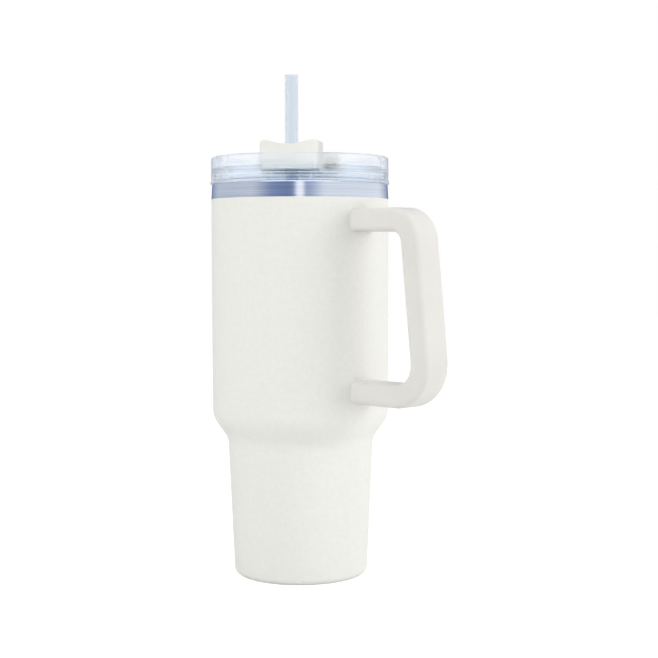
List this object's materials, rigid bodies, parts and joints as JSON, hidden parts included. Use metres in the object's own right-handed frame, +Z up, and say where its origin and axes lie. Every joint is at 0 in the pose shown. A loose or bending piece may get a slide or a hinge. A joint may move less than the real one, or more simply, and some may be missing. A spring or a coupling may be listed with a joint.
{
  "type": "insulated tumbler",
  "caption": "Double-walled steel tumbler with a tapered foot, a side handle, a clear press-in lid with a turning cover, and a straight straw.",
  "frame": {"origin": "on the tumbler's axis, in the plane that it stands on", "axes": "+Z up along the axis, +X towards the handle"},
  "size_m": [0.1535, 0.1008, 0.279],
  "materials": {
    "powder_coat": "fine powder coat",
    "brushed_steel": "brushed",
    "solder": "dull",
    "getter": "sintered",
    "handle_plastic": "fine matt",
    "grip_rubber": "soft matt",
    "clear_plastic": "clear polished",
    "cream_plastic": "satin",
    "silicone": "soft satin"
  },
  "bodies": {
    "tumbler": {"outer_shell": "powder_coat", "inner_liner": "brushed_steel", "base_plate": "brushed_steel", "vacuum_seal": "solder", "base_cover": "brushed_steel", "getter_pellet": "getter", "getter_clip": "brushed_steel", "handle_bracket_upper": "brushed_steel", "handle_bracket_lower": "brushed_steel", "handle_frame": "handle_plastic", "handle_grip": "grip_rubber", "handle_screws": "brushed_steel", "handle_plugs": "handle_plastic"},
    "lid": {"lid_body": "clear_plastic", "lid_gasket": "silicone", "pivot_washer": "brushed_steel", "pivot_pin": "cream_plastic"},
    "cover": {"rotating_cover": "cream_plastic", "cover_seal": "silicone", "straw_grommet": "silicone"},
    "straw": {"straw": "clear_plastic"}
  },
  "joints": [
    {"name": "lid_lift", "type": "slide", "parent": "tumbler", "child": "lid", "axis": [0, 0, 1], "range_m": [0, 0.22]},
    {"name": "cover_turn", "type": "hinge", "parent": "lid", "child": "cover", "pos_m": [0, 0, 0.232], "axis": [0, 0, 1], "range_deg": [-15, 15]},
    {"name": "straw_pull", "type": "slide", "parent": "cover", "child": "straw", "axis": [0, 0, 1], "range_m": [0, 0.235]}
  ]
}
